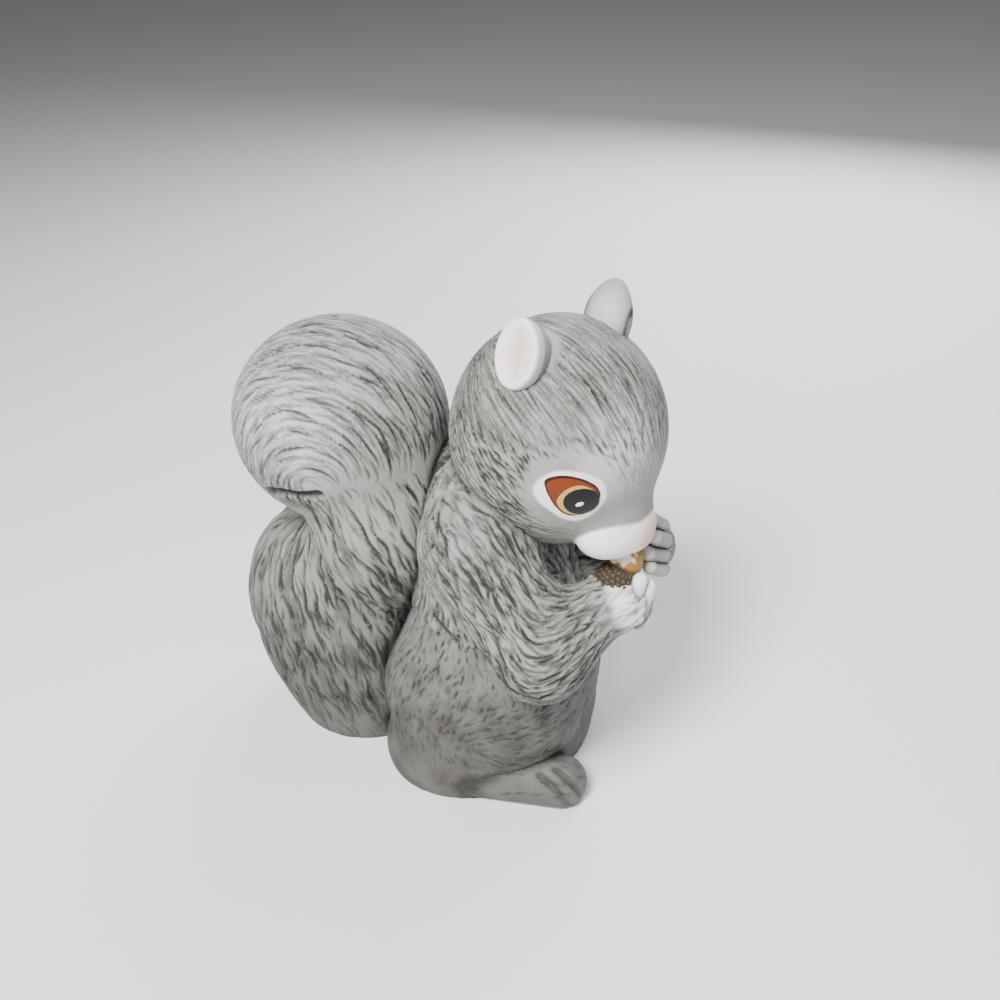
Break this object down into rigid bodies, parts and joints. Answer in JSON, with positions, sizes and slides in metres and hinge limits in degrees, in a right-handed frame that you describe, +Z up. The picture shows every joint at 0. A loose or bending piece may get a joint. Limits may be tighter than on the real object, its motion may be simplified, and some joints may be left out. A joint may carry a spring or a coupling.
{
  "type": "squirrel figurine",
  "caption": "Hollow matte ceramic squirrel that sits up with a tall curled tail, its head turned to its right, and eats an acorn held in both front paws.",
  "frame": {"origin": "on the surface that the figurine stands on, under the middle of its width, inside the front part of the body's base", "axes": "+Z up, -Y the way the body faces, -X the figurine's right side"},
  "size_m": [0.0634, 0.1036, 0.112],
  "materials": {
    "bisque_grey": "matte bisque with a dark wash in the fur grooves",
    "bisque_white": "matte white",
    "bisque_pink": "matte pink",
    "nut_amber": "matte amber stain",
    "cap_brown": "matte dark brown",
    "enamel_white": "satin white",
    "enamel_orange": "gloss orange brown",
    "enamel_yellow": "gloss pale yellow",
    "enamel_black": "gloss black"
  },
  "bodies": {
    "root": {"body_shell": "bisque_grey", "tail_column": "bisque_grey", "tail_curl": "bisque_grey", "head_shell": "bisque_grey", "muzzle": "bisque_white", "nose": "bisque_pink", "acorn_nut": "nut_amber", "acorn_cap": "cap_brown", "right_ear": "bisque_grey", "left_ear": "bisque_grey", "right_arm": "bisque_grey", "left_arm": "bisque_grey", "right_hind_foot": "bisque_grey", "left_hind_foot": "bisque_grey", "right_eye_white": "enamel_white", "right_eye_iris": "enamel_orange", "right_eye_crescent": "enamel_yellow", "right_eye_pupil": "enamel_black", "left_eye_white": "enamel_white", "left_eye_iris": "enamel_orange", "left_eye_crescent": "enamel_yellow", "left_eye_pupil": "enamel_black"}
  },
  "joints": []
}
